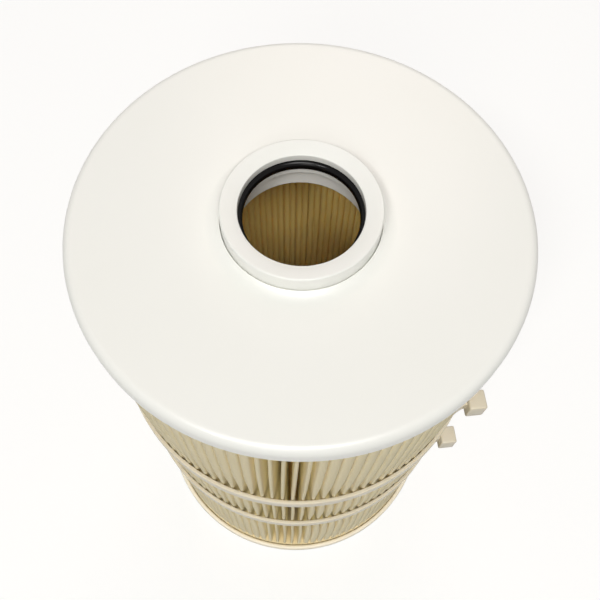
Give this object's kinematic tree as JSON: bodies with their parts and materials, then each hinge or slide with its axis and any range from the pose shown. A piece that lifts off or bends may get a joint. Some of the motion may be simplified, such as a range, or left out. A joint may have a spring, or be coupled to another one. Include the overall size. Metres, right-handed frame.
{
  "type": "pleated vacuum filter cartridge",
  "caption": "Upright pleated filter cartridge with a round plate, a sealed suction collar, two cable ties round the folds and a closed foot.",
  "frame": {"origin": "middle of the foot's flat underside, on the cartridge's axis", "axes": "+Z along the axis, up towards the collar; the tie heads lie towards +X, a little to -Y"},
  "size_m": [0.2034, 0.2, 0.3278],
  "materials": {
    "plate_plastic": "white moulded ABS, semi-gloss",
    "collar_plastic": "white turned plastic, satin",
    "seal_rubber": "black nitrile rubber with a low gloss",
    "filter_paper": "cream pleated filter paper, matt",
    "tie_nylon": "natural nylon, slightly translucent",
    "pan_plastic": "cream moulded plastic",
    "resin": "set polyurethane resin"
  },
  "bodies": {
    "root": {"bottom_cap": "pan_plastic", "bottom_potting": "resin", "pleated_media": "filter_paper", "tie_lower": "tie_nylon", "tie_upper": "tie_nylon", "top_potting": "resin", "top_cap": "plate_plastic", "seal_collar": "collar_plastic", "o_ring": "seal_rubber"}
  },
  "joints": []
}
